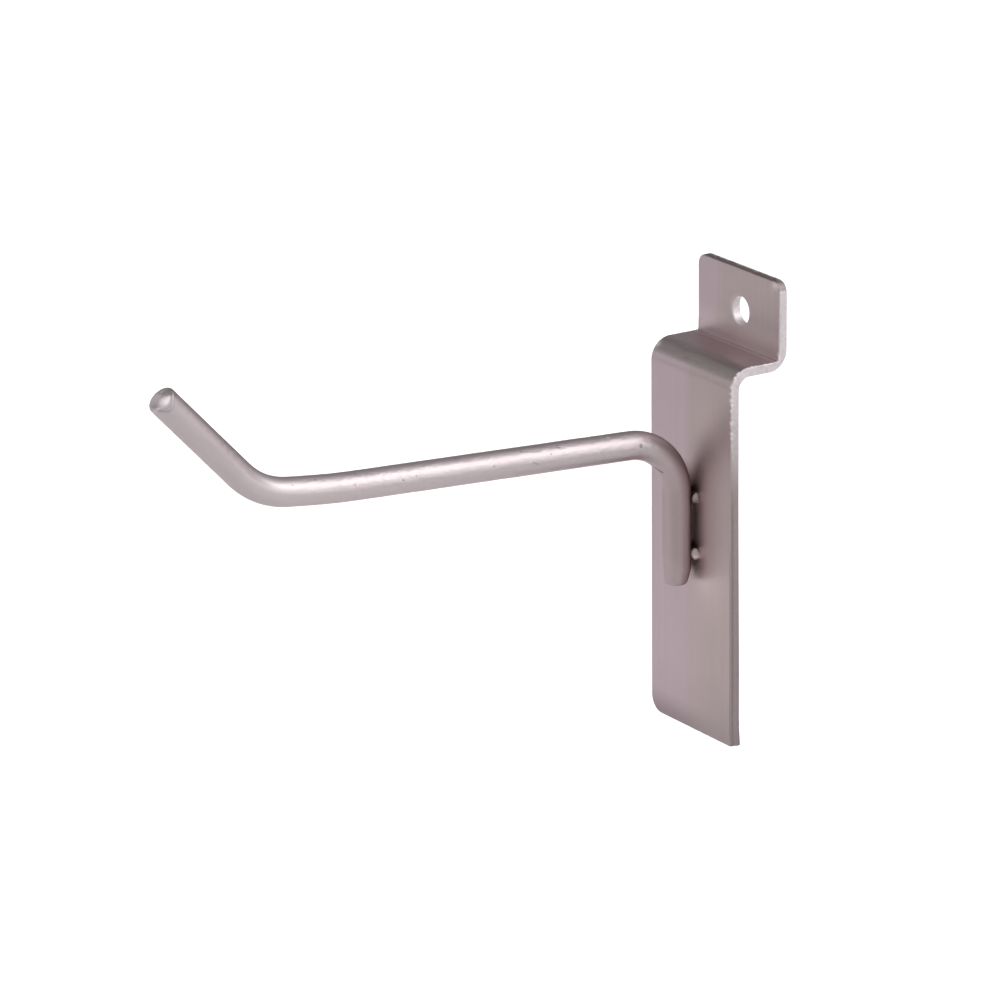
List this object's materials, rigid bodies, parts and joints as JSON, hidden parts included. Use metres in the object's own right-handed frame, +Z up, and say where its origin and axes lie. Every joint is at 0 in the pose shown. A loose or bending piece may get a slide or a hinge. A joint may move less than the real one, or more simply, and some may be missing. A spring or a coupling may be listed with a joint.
{
  "type": "slatwall hook",
  "caption": "Upturned wire display hook welded to a folded steel clip that hangs in the groove of a slatted wall panel.",
  "frame": {"origin": "centre of the flat rear face of the plate, midway across it and halfway between its bottom edge and the top of the web", "axes": "+Z up along the plate, +Y back into the wall panel, +X across the plate to the right as seen from the front; the arm points along -Y"},
  "size_m": [0.029, 0.1395, 0.0973],
  "materials": {
    "plate_finish": "satin nickel plating on folded sheet, finely brushed along its height",
    "wire_finish": "satin nickel plating on drawn round bar, with small pits and scuffs",
    "weld_finish": "plated weld bead, smooth and slightly brighter"
  },
  "bodies": {
    "root": {"back_plate": "plate_finish", "hook_wire": "wire_finish", "lower_weld": "weld_finish", "upper_weld": "weld_finish"}
  },
  "joints": []
}
